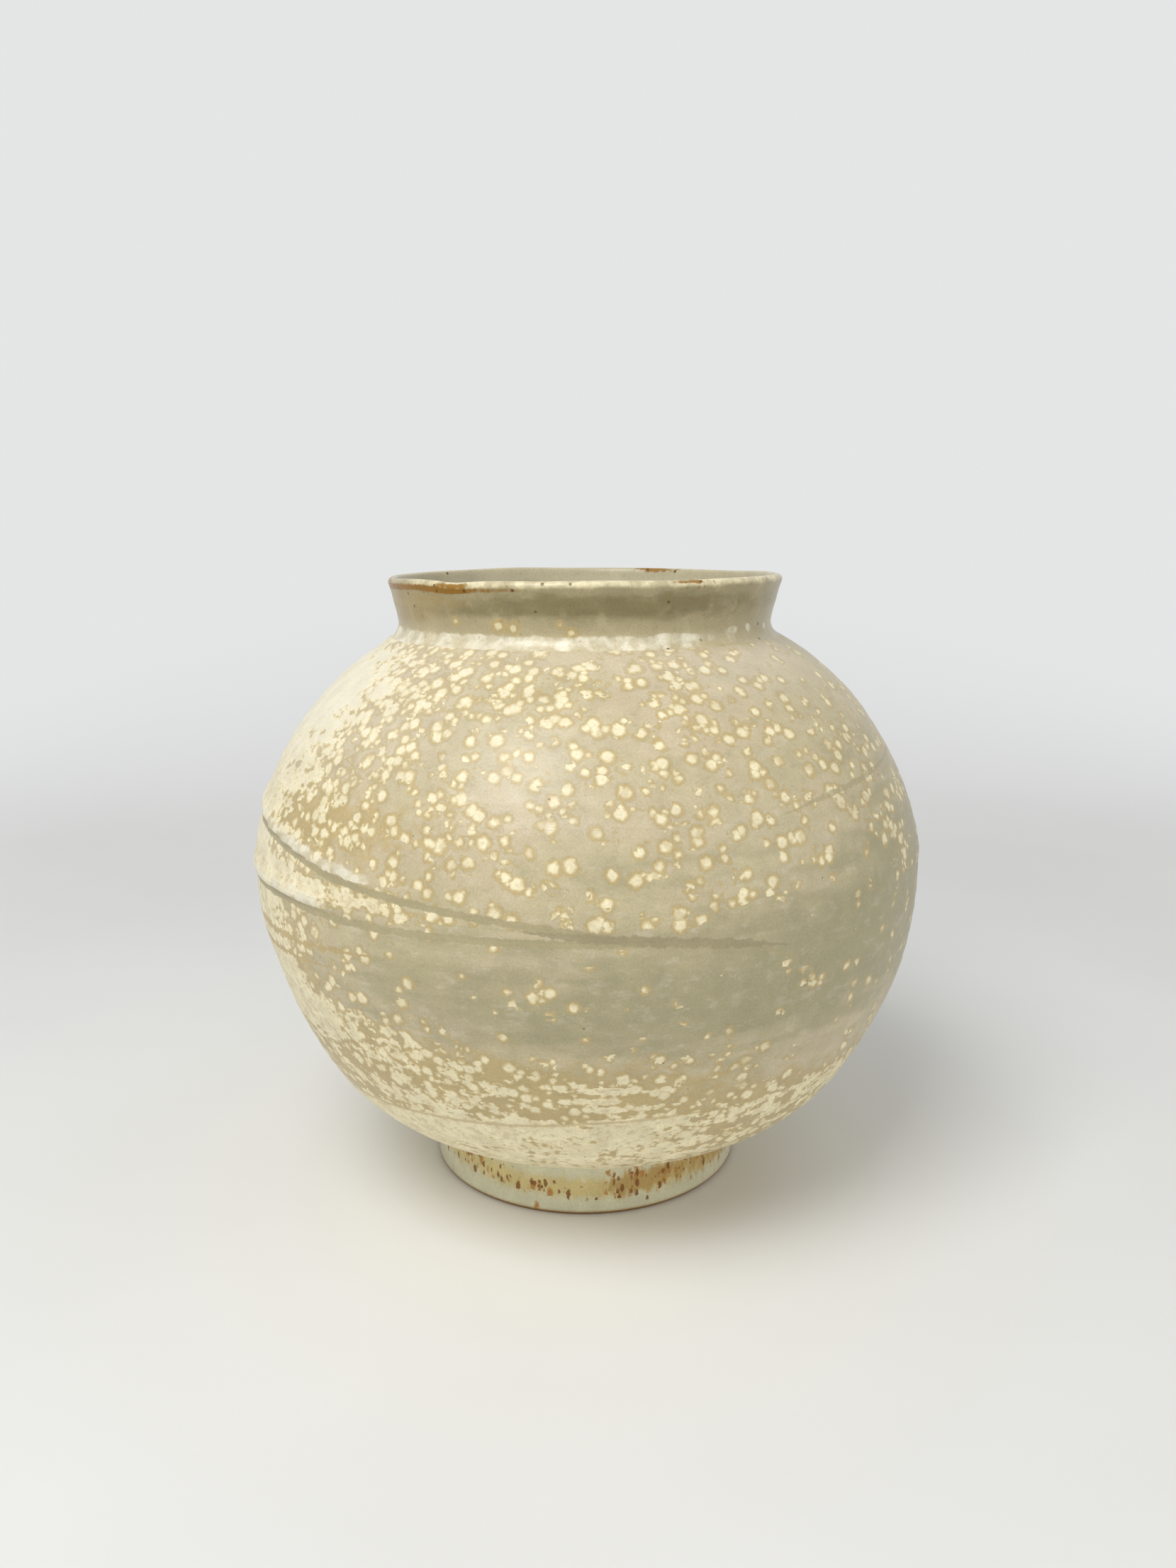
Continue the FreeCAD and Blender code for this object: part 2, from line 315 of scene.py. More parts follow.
# Stripes of thin glaze: azimuths and heights that each passes through, its half width, and where it
# fades in and out.
STRIPES = {
    "stripe_long": (
        ((-150, 166), (-115, 164), (-90, 160), (-70, 156), (-57, 153.5), (-50, 151.5), (-40, 148),
         (-30, 146), (-19, 143.5), (-8, 141), (0, 138.5), (12, 135.5), (22, 133.5)),
        1.3, (-150, -120), (-2, 22)),
    "stripe_joint": (
        ((-180, 136), (-120, 136), (-90, 133.5), (-60, 134.5), (-53, 135.5), (-41, 134.5), (-28, 135),
         (-16, 135.5), (7, 135.5), (15, 134), (23, 131.5), (33, 123)),
        1.35, (-180, -130), (18, 33)),
    "stripe_end": (
        ((-10, 139.6), (-4, 138.2), (5, 136.4), (12, 135.2), (17, 134), (23, 132.2), (30, 129)),
        1.65, (-10, 0), (21, 30)),
    "stripe_under": (
        ((-110, 117), (-66, 119), (-50, 120.5), (-42, 122.5), (-20, 127)),
        1.5, (-110, -80), (-48, -30)),
    "stripe_brushed": (
        ((-110, 110), (-66, 112), (-50, 114), (-40, 116)),
        1.1, (-110, -80), (-54, -40)),
    "stripe_stray": (
        ((30, 170), (40, 173.5), (60, 177), (80, 180)),
        0.9, (30, 40), (60, 82)),
    "stripe_low": (
        ((-120, 51), (-75, 52), (-52, 55.5), (-44, 57.5), (-33, 60), (-14, 63), (0, 66), (14, 67.5),
         (40, 69)),
        0.7, (-120, -80), (12, 30)),
}

# Where the thick glaze over a stripe is white: stripe, azimuths and strengths, from and to above it.
ROLLS = (
    ("stripe_long", (-130, -95, -70, -57, -38, -30), (0, 0.9, 1.2, 1.35, 1.2, 0), 1.3, 6.4),
    ("stripe_joint", (-90, -76, -62, -54, -44, -36), (0, 0.8, 1.3, 1.4, 1.1, 0), 1.4, 7.2),
)
# Each rises over this height and stays full before it falls, and less proud after the first azimuth.
ROLL_EDGE, ROLL_FULL, ROLL_FALL = 0.7, 1.6, 0.7
ROLL_SHARES = (-55, -34), (1, 0.3)

# The white ring round the neck, by height on the body and on the neck, and by degrees away from the
# azimuth where it is strongest.
RING_ON_BODY = (220, 223.5, 226.5, 230), (0, 0.6, 1, 0)
RING_ON_NECK = (221, 225.2, 227.6), (0.8, 1, 0)
RING_STRONGEST = -30
RING_SHARES = (0, 45, 80, 180), (1, 0.85, 0.3, 0.5)

# Fleck cover: azimuth, height, half the width, half the height, share covered.
COVER = (
    (-90, 200, 46, 42, 1.1), (-64, 168, 20, 15, 0.25), (-24, 213, 34, 13, 0.36),
    (-52, 206, 18, 13, 0.15), (22, 211, 34, 16, 0.36), (-14, 180, 44, 26, 0.36),
    (36, 172, 32, 22, 0.26), (66, 190, 20, 34, 0.14), (-46, 142, 24, 6, 0.6),
    (-26, 141.5, 13, 3, 0.24), (-42, 161, 16, 8, 0.2), (-4, 150, 38, 9, 0.3),
    (-92, 140, 26, 16, 1.15), (-90, 102, 38, 40, 1.1), (-62, 116, 18, 17, 0.5),
    (-56, 94, 15, 12, 0.3), (-40, 88, 22, 14, 0.34), (-12, 82, 28, 14, 0.56),
    (-36, 68, 32, 8, 0.38), (2, 81, 5, 1.2, 0.6), (11, 80, 4, 1.1, 0.5), (0, 76.5, 6, 1.1, 0.55),
    (7, 72.5, 7, 1.0, 0.5), (42, 76, 34, 14, 0.18), (60, 150, 9, 18, 0.45), (20, 90, 9, 6, 0.3),
    (5, 141.5, 10, 1.8, 0.4), (-34, 98, 14, 7, 0.18), (-8, 117, 18, 5, 0.26), (36, 117, 9, 5, 0.24),
    (60, 130, 10, 6, 0.2), (150, 190, 50, 34, 0.45), (-145, 178, 40, 40, 0.9),
    (176, 120, 50, 26, 0.3), (125, 96, 34, 26, 0.3), (170, 44, 60, 22, 0.85),
    (-140, 72, 46, 32, 0.9), (-150, 122, 36, 24, 0.3),
)
LEAST_COVER, MOST_COVER = 0.15, 1.08
# Cover near the low stripe, by how far above it and by azimuth.
BASE_COVER = (-60, -2, 3, 10, 20), (0.86, 0.82, 0.3, 0.08, 0)
BASE_SHARES = (-20, 10, 30, 60, 100), (1, 0.95, 0.8, 0.8, 1)

# Whiter glaze, and painted sheen on the top front, where the light's sheen is painted as paler, milkier
# ground: azimuth, height, half the width, half the height, strength.
PLAIN_BRIGHT, MOST_BRIGHT = 0.5, 2.6
BRIGHT_PLACES = (
    (-64, 202, 42, 28, 2.2), (-60, 150, 26, 6, 1.0), (40, 212, 30, 10, 1.2), (0, 172, 14, 8, 0.8),
    (-20, 219, 70, 5, 1.4), (-150, 200, 40, 24, 1.5),
)

# Ochre places: azimuth, height, half the width, half the height, strength.
OCHRE_PLACES = (
    (-62, 163, 22, 11, 1.0), (-58, 141, 9, 3, 0.8), (-36, 167, 22, 18, 0.48),
    (-54, 104, 12, 26, 0.8), (-24, 77, 46, 18, 1.3), (50, 66, 40, 14, 0.6), (0, 48, 90, 14, 0.55),
    (60, 152, 10, 18, 0.5), (-130, 150, 24, 8, 0.8), (150, 60, 50, 20, 0.6),
)

# Grey-green places and, with minus signs, pinkish ones.
CELADON_PLACES = (
    (10, 112, 66, 20, 0.95), (64, 138, 44, 38, 0.95), (10, 158, 34, 7, 0.4),
    (-20, 134, 30, 5, 0.35), (52, 186, 26, 16, 0.25), (20, 200, 24, 14, -0.55),
    (36, 166, 18, 10, -0.5), (-34, 164, 22, 16, -0.45), (-2, 176, 14, 10, -0.3),
    (150, 140, 50, 24, 0.7), (-170, 176, 36, 18, -0.5),
)

# The neck: heights between which its wall is followed, its darker band, where it pales towards the
# shoulder, and where the pale glaze is drawn up the lip.
NECK_MIDDLE = (222, 244)
BAND_HEIGHT, BAND_SPREAD = 236.3, 4.2
BAND_SHARES = (20, 55, 100, 180), (1.25, 0.3, 0.3, 1)
PALE_SHARES = (224, 226, 234), (1, 0.75, 0)
DRAWN_UP = (241.8, 243.6), (0, 1)
DRAWN_UP_SHARES = (-100, -58, -42, 20, 180), (0.3, 0.35, 1, 0.9, 0.7)

# On the neck and the lip: azimuth, height, half the width, half the height, strength.
CLAY_PLACES = (
    (-37, 243.8, 5.5, 0.8, 0.85), (28, 244.4, 5, 0.6, 0.6), (155, 244.6, 7, 1.0, 0.75),
    (84, 242.6, 8, 1.8, 0.5), (-78, 244.2, 12, 0.8, 0.4),
)
COLLAR_OCHRE = (
    (-70, 242.1, 30, 1.15, 1.45), (-40, 241.9, 10, 1.1, 1.2), (-22, 241.8, 9, 0.8, 0.6),
    (-100, 242, 30, 1.2, 0.7), (28, 242.6, 10, 0.9, 0.4), (80, 240, 6, 2.5, 0.35),
    (160, 242, 34, 1.2, 0.6),
)
COLLAR_STAINS = (
    (-66, 233, 24, 5, 1.0), (-56, 238.5, 30, 3, 0.7), (40, 236, 30, 4, 0.25),
    (170, 234, 40, 5, 0.6),
)
COLLAR_FLECKS = (
    (-23.8, 229.4, 1.8, 1.9, 1.0), (-19.4, 228.8, 1.3, 1.9, 1.0), (-37.7, 230.6, 1.4, 1.3, 0.9),
    (-6.5, 230.3, 1.0, 1.1, 0.8), (-3.5, 227.4, 1.5, 1.5, 0.9), (130, 229, 3, 1.8, 0.9),
    (141, 230, 2, 1.4, 0.8),
)
COLLAR_WHITES = (
    (46, 226.6, 2.6, 1.5, 0.9), (54, 227.4, 2.0, 1.7, 0.8), (66, 226.4, 2.4, 1.2, 0.7),
    (26, 225.6, 5, 1.4, 0.6),
)

# On the foot, the same: yellow band, tan smear and drips, and how softly the bare edge begins.
BARE_BLUR = 0.3
FOOT_BAND = (
    (-52, 16, 26, 6, 1.1), (-22, 12, 20, 4.4, 0.95), (4, 11, 18, 4, 0.9), (32, 13, 26, 6, 1.0),
    (70, 14, 30, 6, 0.9), (-100, 14, 40, 5, 0.7), (120, 13, 60, 5, 0.7), (180, 13, 60, 5, 0.8),
)
FOOT_TAN = (
    (13, 12, 9, 4.5, 1.0), (26, 13, 9, 5, 0.95), (46, 15, 16, 8, 1.0), (66, 15, 12, 7, 0.9),
    (-48, 16, 5, 4, 0.5), (-26, 12, 5, 3, 0.4), (-120, 13, 18, 6, 0.8), (150, 12, 20, 6, 0.7),
)
FOOT_DRIPS = (
    (-55, 16, 26, 7, 0.4), (-46, 15, 4, 4, 0.5), (-29, 12.5, 5, 4, 0.5), (-17, 11, 4, 3, 0.5),
    (-5, 11, 34, 5, 0.34), (15, 12, 8, 5, 0.6), (48, 15, 30, 7, 0.42), (34, 14, 6, 4, 0.3),
    (-110, 14, 24, 6, 0.7), (150, 13, 40, 6, 0.7),
)


class Clay:
    """The vertices of one turned piece: where they are, and their azimuths and heights on the jar."""

    def __init__(self, mesh):
        self.mesh = mesh
        self.places = np.empty(len(mesh.vertices) * 3)
        mesh.vertices.foreach_get("co", self.places)
        self.places = self.places.reshape(-1, 3)
        x, y, z = self.places.T
        self.radius = np.hypot(x, y)
        self.azimuth = np.degrees(np.arctan2(x, -y))
        self.height = z / MM

    def away(self, azimuth):
        """Degrees round the jar from an azimuth, from -180 to 180."""
        return (self.azimuth - azimuth + 180) % 360 - 180

    def patches(self, rows):
        """The strengths of all places in a table, each falling softly to 0 round its middle."""
        total = 0
        for azimuth, height, half_width, half_height, strength in rows:
            across, up = self.away(azimuth) / half_width, (self.height - height) / half_height
            total = total + strength * np.exp(-across ** 2 - up ** 2)
        return total

    def above(self, name):
        """How far up from a stripe's middle."""
        azimuths, heights = zip(*STRIPES[name][0])
        return self.height - np.interp(self.azimuth, azimuths, heights)

    def stripe(self, name):
        """The same in half widths of the stripe, which tapers at both ends."""
        _, half_width, fade_in, fade_out = STRIPES[name]
        shares = STRIPE_TIP, 1, 1, STRIPE_TIP
        width = half_width * np.interp(self.azimuth, (*fade_in, *fade_out), shares)
        return np.clip(self.above(name) / width, -STRIPE_FAR, STRIPE_FAR)

    def rolls(self):
        """Strength of the thick glaze over the stripes: full just above each, and thinning upwards."""
        total = 0
        for name, azimuths, strengths, start, end in ROLLS:
            above = self.above(name)
            rise = np.clip((above - start) / ROLL_EDGE + 0.5, 0, 1)
            fall = np.clip((end - above) / (end - start) * ROLL_FULL, 0, 1) ** ROLL_FALL
            total = total + np.interp(self.azimuth, azimuths, strengths, left=0, right=0) * rise * fall
        return total

    def white_ring(self, heights, strengths):
        """The white glaze round the neck, stronger on one side of the jar."""
        away = np.abs(self.away(RING_STRONGEST))
        return np.interp(self.height, heights, strengths) * np.interp(away, *RING_SHARES)

    def paint(self, name, values):
        """Keeps a number for every vertex, for the glazes to read."""
        attribute = self.mesh.attributes.new(name, "FLOAT", "POINT")
        attribute.data.foreach_set("value", np.asarray(values, dtype=np.float32))

    def paint_patches(self, share=1, **tables):
        """Keeps the places of each table under its name."""
        for name, rows in tables.items():
            self.paint(name, self.patches(rows) * share)

    def move(self, outward, aside, upward):
        """Moves the vertices out from the axis, towards +X and up, all in millimetres."""
        turn = np.radians(self.azimuth)
        moved = self.places + MM * np.column_stack((
            outward * np.sin(turn) + aside,
            -outward * np.cos(turn),
            upward,
        ))
        self.mesh.vertices.foreach_set("co", moved.ravel())
        self.mesh.update()


def uneven(clay, outside):
    """Presses what the hand left into a piece. outside is 1 on its outer surface and 0 elsewhere."""
    form = bpy.context.scene.jar_form
    turn = np.radians(clay.azimuth)
    height = clay.height
    body = np.interp(height, *BODY_SHARES)
    outward = clay.patches(SWELLINGS) * body + np.interp(height, *NECK_FULLNESS)
    for times, start, amount, twist in WAVES:
        wave = np.sin(times * turn + math.radians(start) + np.radians(height * twist))
        outward += amount * wave * body
    for pitch, strength, times, waver, drift in FINGER_RINGS:
        ring = np.sin(height / pitch * 2 * math.pi + waver * np.sin(turn * times + height / drift))
        outward += ring * strength * form.ring_depth / MM * outside * body
    rolls = np.minimum(clay.rolls(), 1) * np.interp(clay.azimuth, *ROLL_SHARES)
    outward += rolls * form.roll / MM * outside
    for name, depth in STRIPE_DEPTHS:
        outward -= depth * np.exp(-clay.stripe(name) ** 2) * outside
    aside = np.interp(height, *LEAN)
    azimuth, half_width, dip = LIP_DIP
    upward = dip * np.exp(-(clay.away(azimuth) / half_width) ** 2)
    for times, start, amount in LIP_WAVES:
        upward += amount * np.sin(times * turn + math.radians(start))
    upward *= np.interp(height, *LIP_SHARES) ** 2
    clay.move(outward * np.clip(clay.radius / CALM_MIDDLE, 0, 1), aside, upward)


def throw(name, outline, closed):
    """Traces an outline beside the axis, point by point, and turns it once round."""
    bpy.ops.object.select_all(action="DESELECT")
    bpy.ops.mesh.primitive_plane_add(size=MM, location=(0, 0, 0))
    piece = bpy.context.object
    piece.name = name
    bpy.ops.object.mode_set(mode="EDIT")
    bpy.ops.mesh.select_mode(type="VERT")
    bpy.ops.mesh.select_all(action="SELECT")
    bpy.ops.mesh.merge(type="CENTER")
    bpy.ops.transform.translate(value=(outline[0].x, 0, outline[0].y))
    following = outline[1:] + outline[:1] if closed else outline[1:]
    for here, there in zip(outline, following):
        step = there - here
        bpy.ops.mesh.extrude_region_move(TRANSFORM_OT_translate={"value": (step.x, 0, step.y)})
    bpy.ops.object.mode_set(mode="OBJECT")
    bpy.ops.object.modifier_add(type="SCREW")
    wheel = piece.modifiers[-1]
    wheel.steps = wheel.render_steps = bpy.context.scene.jar_form.turns
    wheel.use_merge_vertices = True
    wheel.merge_threshold = SAME_PLACE
    bpy.ops.object.modifier_apply(modifier=wheel.name)
    bpy.ops.object.mode_set(mode="EDIT")
    bpy.ops.mesh.select_all(action="SELECT")
    bpy.ops.mesh.remove_doubles(threshold=SAME_PLACE)
    bpy.ops.mesh.normals_make_consistent(inside=False)
    bpy.ops.object.mode_set(mode="OBJECT")
    bpy.ops.object.shade_smooth_by_angle(angle=SHARP)
    piece.data.name = name
    return piece


def glazed(piece, mix, slot, *nodes):
    """Gives a piece its material, hangs it on the construction's root body and hides the nodes it
    replaces.
    """
    piece.data.materials.clear()
    piece.data.materials.append(mix.material)
    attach(piece, "root")
    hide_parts(*nodes)


class Nodes:
    """A node tree in the making."""

    def __init__(self, tree):
        self.tree = tree

    def node(self, kind, feeds=(), **settings):
        """A node with its settings, and its sockets fed in order, or by number or name."""
        made = self.tree.nodes.new("ShaderNode" + kind)
        for setting, value in settings.items():
            setattr(made, setting, value)
        for socket, value in feeds.items() if isinstance(feeds, dict) else enumerate(feeds):
            self.feed(made.inputs[socket], value)
        return made

    def feed(self, socket, value):
        """Links a socket to another node's output, or sets it to a plain value."""
        if isinstance(value, bpy.types.NodeSocket):
            self.tree.links.new(value, socket)
        elif socket.type == "RGBA" and len(value) == 3:
            socket.default_value = (*value, 1)
        else:
            socket.default_value = value


class Recipe(Nodes):
    """A material in the making, with a short method for each kind of node that the glazes use."""

    def __init__(self, name, colour):
        self.material = bpy.data.materials.new(name)
        self.material.use_nodes = True
        super().__init__(self.material.node_tree)
        self.shader = self.tree.nodes["Principled BSDF"]
        self.place = self.node("TexCoord").outputs["Object"]
        self.colour = colour

    def math(self, operation, *values):
        return self.node("Math", values, operation=operation).outputs[0]

    def add(self, first, second):
        return self.math("ADD", first, second)

    def less(self, first, second):
        return self.math("SUBTRACT", first, second)

    def times(self, first, second):
        return self.math("MULTIPLY", first, second)

    def vector(self, operation, *values):
        """A vector, or a plain number for a length or a dot product."""
        made = self.node("VectorMath", values, operation=operation)
        return made.outputs["Value" if operation in ("LENGTH", "DOT_PRODUCT") else "Vector"]

    def ease(self, value, low, high, start=0.0, end=1.0):
        """From start, where value is at low, to end, where it is at high, in a smooth step."""
        feeds = value, low, high, start, end
        return self.node("MapRange", feeds, interpolation_type="SMOOTHSTEP").outputs["Result"]

    def ruffled(self, value, grain, amount):
        """A value with an amount of grain added."""
        return self.add(value, self.times(grain, amount))

    def coat(self, share, colour):
        """Lays another colour over the last one, whole where share is 1."""
        feeds = {0: share, 6: self.colour, 7: colour}
        self.colour = self.node("Mix", feeds, data_type="RGBA").outputs[2]

    def shade(self, colour, amount):
        """A colour made lighter or darker by an amount round 1."""
        return self.node("VectorMath", {0: colour, "Scale": amount}, operation="SCALE").outputs[0]

    def stretch(self, scale, place=None):
        """Coordinates scaled along X, Y and Z."""
        return self.node("Mapping", {"Vector": place or self.place, "Scale": scale}).outputs[0]

    def noise(self, size, detail=2.0, place=None, rough=0.5, output="Fac"):
        """Cloudy grain of about this size, round 0.5."""
        feeds = {"Vector": place or self.place, "Scale": 1 / size, "Detail": detail, "Roughness": rough}
        return self.node("TexNoise", feeds).outputs[output]

    def sway(self, size, detail=2.0, place=None, rough=0.5):
        """The same grain round 0."""
        return self.less(self.noise(size, detail, place, rough), 0.5)

    def jostle(self, size, amount):
        """Coordinates pushed about by a grain of this size."""
        grain = self.noise(size, 1.5, output="Color")
        return self.vector("MULTIPLY_ADD", grain, (2 * amount,) * 3, self.place)

    def cells(self, size, place=None):
        """The nearest of scattered points: how far in cell sizes, two random numbers, and its place."""
        feeds = {"Vector": place or self.place, "Scale": 1 / size, "Randomness": 0.9}
        made = self.node("TexVoronoi", feeds).outputs
        numbers = self.node("SeparateColor", (made["Color"],)).outputs
        return made["Distance"], numbers[0], numbers[1], made["Position"]

    def painted(self, name):
        """A number kept on the clay."""
        return self.node("Attribute", attribute_name=name).outputs["Fac"]

    def bump(self, height, depth, below=None):
        """Fine relief: depth is how far a height of 1 stands out."""
        feeds = {"Height": height, "Distance": depth}
        if below is not None:
            feeds["Normal"] = below
        return self.node("Bump", feeds).outputs[0]


def flecks(mix, cover, size):
    """How far inside a cream fleck a point lies, in millimetres, and below 0 outside all flecks.

    Flecks are discs round scattered points, measured along the surface.
    """
    place = mix.jostle(2.3 * MM, 1.05 * MM)
    outward = mix.vector("MULTIPLY_ADD", mix.place, (1, 1, ROUNDING), (0, 0, -ROUNDING * SEAM_LOW))
    outward = mix.vector("NORMALIZE", outward)
    banded = mix.sway(11 * MM, 2.0, mix.stretch((1, 1, 2.2)))
    for drift, amount in ((mix.sway(24 * MM), 0.3), (banded, 0.6)):
        cover = mix.math("MULTIPLY_ADD", drift, amount, cover)
    fields = []
    for spacing, start, share, least, growing, roomy in FLECK_SORTS:
        cell = spacing * size
        _, chance, growth, middle = mix.cells(cell, place)
        crowding = mix.ease(mix.noise(1.3 * size, 1.0, middle), 0.32, 0.68)
        rank = mix.math("MULTIPLY_ADD", chance, 0.5, mix.times(crowding, 0.5))
        room = mix.less(mix.times(mix.less(cover, start), share), rank)
        across = mix.vector("SUBTRACT", middle, place)
        depth = mix.math("ABSOLUTE", mix.vector("DOT_PRODUCT", across, outward))
        kept = mix.times(mix.ease(room, -0.02, 0.04), mix.ease(depth, 0.27 * cell, 0.36 * cell, 1, 0))
        reach = mix.math("MULTIPLY_ADD", growth, growing, least)
        reach = mix.add(reach, mix.times(mix.math("MAXIMUM", room, 0.0), roomy))
        reach = mix.less(mix.times(reach, kept), mix.times(mix.less(1.0, kept), 4.0))
        flat = mix.vector("LENGTH", mix.vector("CROSS_PRODUCT", across, outward))
        fields.append(mix.less(reach, mix.times(flat, 1 / MM)))
    grain = mix.noise(3.0 * MM, 2.5, mix.stretch((1, 1, 1.5)))
    closed = mix.math("MULTIPLY_ADD", cover, 1.7, -2.05)
    together = mix.times(mix.add(grain, closed), 9.0)
    for field in fields:
        together = mix.math("SMOOTH_MAX", together, field, 0.5)
    return together


def fine_grain(mix):
    """The small mottling of a stony glaze, as an amount round 1."""
    small = mix.ease(mix.noise(0.7 * MM), 0.25, 0.75, 0.93, 1.07)
    large = mix.ease(mix.noise(9 * MM, 3.0), 0.3, 0.7, 0.95, 1.05)
    return mix.times(small, large)


def speckle(mix, size, middle, edge, rare, strength, colour):
    """Lays round specks over the rest, in the cells whose random number is over rare."""
    distance, chance, _, _ = mix.cells(size)
    speck = mix.times(mix.ease(distance, middle, edge, 1, 0), mix.math("GREATER_THAN", chance, rare))
    mix.coat(mix.times(speck, strength), colour)


def whiten(mix):
    """Lays the thick white glaze over the rest, scalloped where it ends."""
    reach = mix.ruffled(mix.painted("white"), mix.sway(2.0 * MM), 0.5)
    reach = mix.ruffled(reach, mix.sway(4.5 * MM, 1.0), 1.6)
    thin = mix.ease(mix.noise(6 * MM), 0.38, 0.62, 0.32, 0.95)
    mix.coat(mix.times(mix.ease(reach, 0.05, 0.75), thin), bpy.context.scene.jar_glaze.white)


def fired(mix, roughness, *reliefs):
    """Ends a glaze with its mottling and roughness, and its reliefs with how far each stands out."""
    normal = None
    for height, depth in reliefs:
        normal = mix.bump(height, depth, normal)
    colour = mix.shade(mix.colour, fine_grain(mix))
    for name, value in (("Base Color", colour), ("Roughness", roughness), ("Normal", normal)):
        mix.feed(mix.shader.inputs[name], value)
    return mix


def body_recipe(name):
    """Satin glaze of the body: grey ground, ochre halos, cream flecks, white rolls and thin stripes."""
    glaze = bpy.context.scene.jar_glaze
    mix = Recipe(name, glaze.ground)
    banded = mix.noise(26 * MM, 2.0, mix.stretch((1, 1, 4.5)))
    tone = mix.add(mix.painted("celadon"), mix.ease(banded, 0.35, 0.65, -0.17, 0.17))
    mix.coat(mix.ease(mix.noise(34 * MM, 3.0), 0.42, 0.62, 0, 0.6), glaze.blush)
    mix.coat(mix.ease(tone, 0.15, 0.95), glaze.celadon)
    mix.coat(mix.ease(tone, -0.1, -0.6), glaze.blush)
    wisps = mix.noise(7 * MM, 4.0, mix.stretch((1, 1, 1.7)), 0.66)
    mix.coat(mix.ease(wisps, 0.5, 0.7, 0, 0.34), glaze.wisp_and_sheen)
    mix.coat(mix.ease(wisps, 0.46, 0.3, 0, 0.4), glaze.celadon)
    patchy = mix.ruffled(mix.painted("ochre"), mix.sway(5 * MM, 3.0), 1.4)
    mix.coat(mix.ease(patchy, 0.3, 0.9, 0, 0.85), glaze.halo)
    # Bright places: partly whiter glaze, partly painted sheen on the top front, as paler, milkier ground.
    bright = mix.painted("bright")
    mix.coat(mix.ease(bright, 0.7, 2.2, 0, 0.5), glaze.wisp_and_sheen)

    inside_fleck = flecks(mix, mix.painted("cover"), glaze.fleck_size)
    rim = mix.times(mix.ease(inside_fleck, -1.7, -1.25), mix.ease(inside_fleck, -1.2, -0.8, 1, 0))
    mix.coat(mix.times(rim, 0.4), glaze.stripe)
    halo = mix.ease(inside_fleck, -1.35, -0.6)
    mix.coat(mix.times(halo, mix.ease(bright, 0.7, 2.2, 0.85, 0.5)), glaze.halo)
    cream = mix.ease(inside_fleck, -0.5, 0.9)
    milky = mix.times(cream, mix.ease(mix.noise(7 * MM), 0.3, 0.62, 0.68, 1.0))
    solid = mix.ease(mix.painted("cover"), 0.5, 0.9, 0, 0.4)
    half_grown = mix.ease(mix.add(mix.noise(5.5 * MM, 1.0), solid), 0.36, 0.44, 0.52, 1.0)
    mix.coat(mix.times(milky, half_grown), glaze.fleck)
    curdled = mix.ease(mix.noise(2.8 * MM, 3.0), 0.58, 0.36, 0, 0.55)
    mix.coat(mix.times(curdled, mix.ease(inside_fleck, 1.0, 2.6)), glaze.halo)
    mix.coat(mix.times(mix.ease(inside_fleck, 0.4, 1.5, 0, 0.35), bright), glaze.white)

    whiten(mix)
    edge = mix.sway(2.4 * MM)
    for stripe, strength, torn, colour in (
            ("stripe_under", 0.9, 4.5, glaze.halo), ("stripe_brushed", 0.9, 5.0, glaze.halo),
            ("stripe_stray", 0.72, 2.0, glaze.stripe), ("stripe_low", 0.6, 2.4, glaze.halo),
            ("stripe_joint", 0.95, 1.7, glaze.stripe), ("stripe_long", 1.0, 1.7, glaze.stripe),
            ("stripe_end", 0.82, 2.3, mix.shade(tuple(glaze.stripe), 0.82))):
        ragged = mix.ruffled(mix.math("ABSOLUTE", mix.painted(stripe)), edge, torn)
        mix.coat(mix.ease(ragged, 0.75, 1.2, strength, 0), colour)

    speckle(mix, 9 * MM, 0.03, 0.055, 0.72, 0.75, glaze.rust)
    roughness = mix.ease(inside_fleck, -0.2, 0.5, 0.37, 0.45)
    pitted = mix.noise(0.8 * MM), 0.034 * MM
    return fired(mix, roughness, (mix.noise(2.2 * MM, 2.5), 0.05 * MM), pitted, (cream, 0.04 * MM))


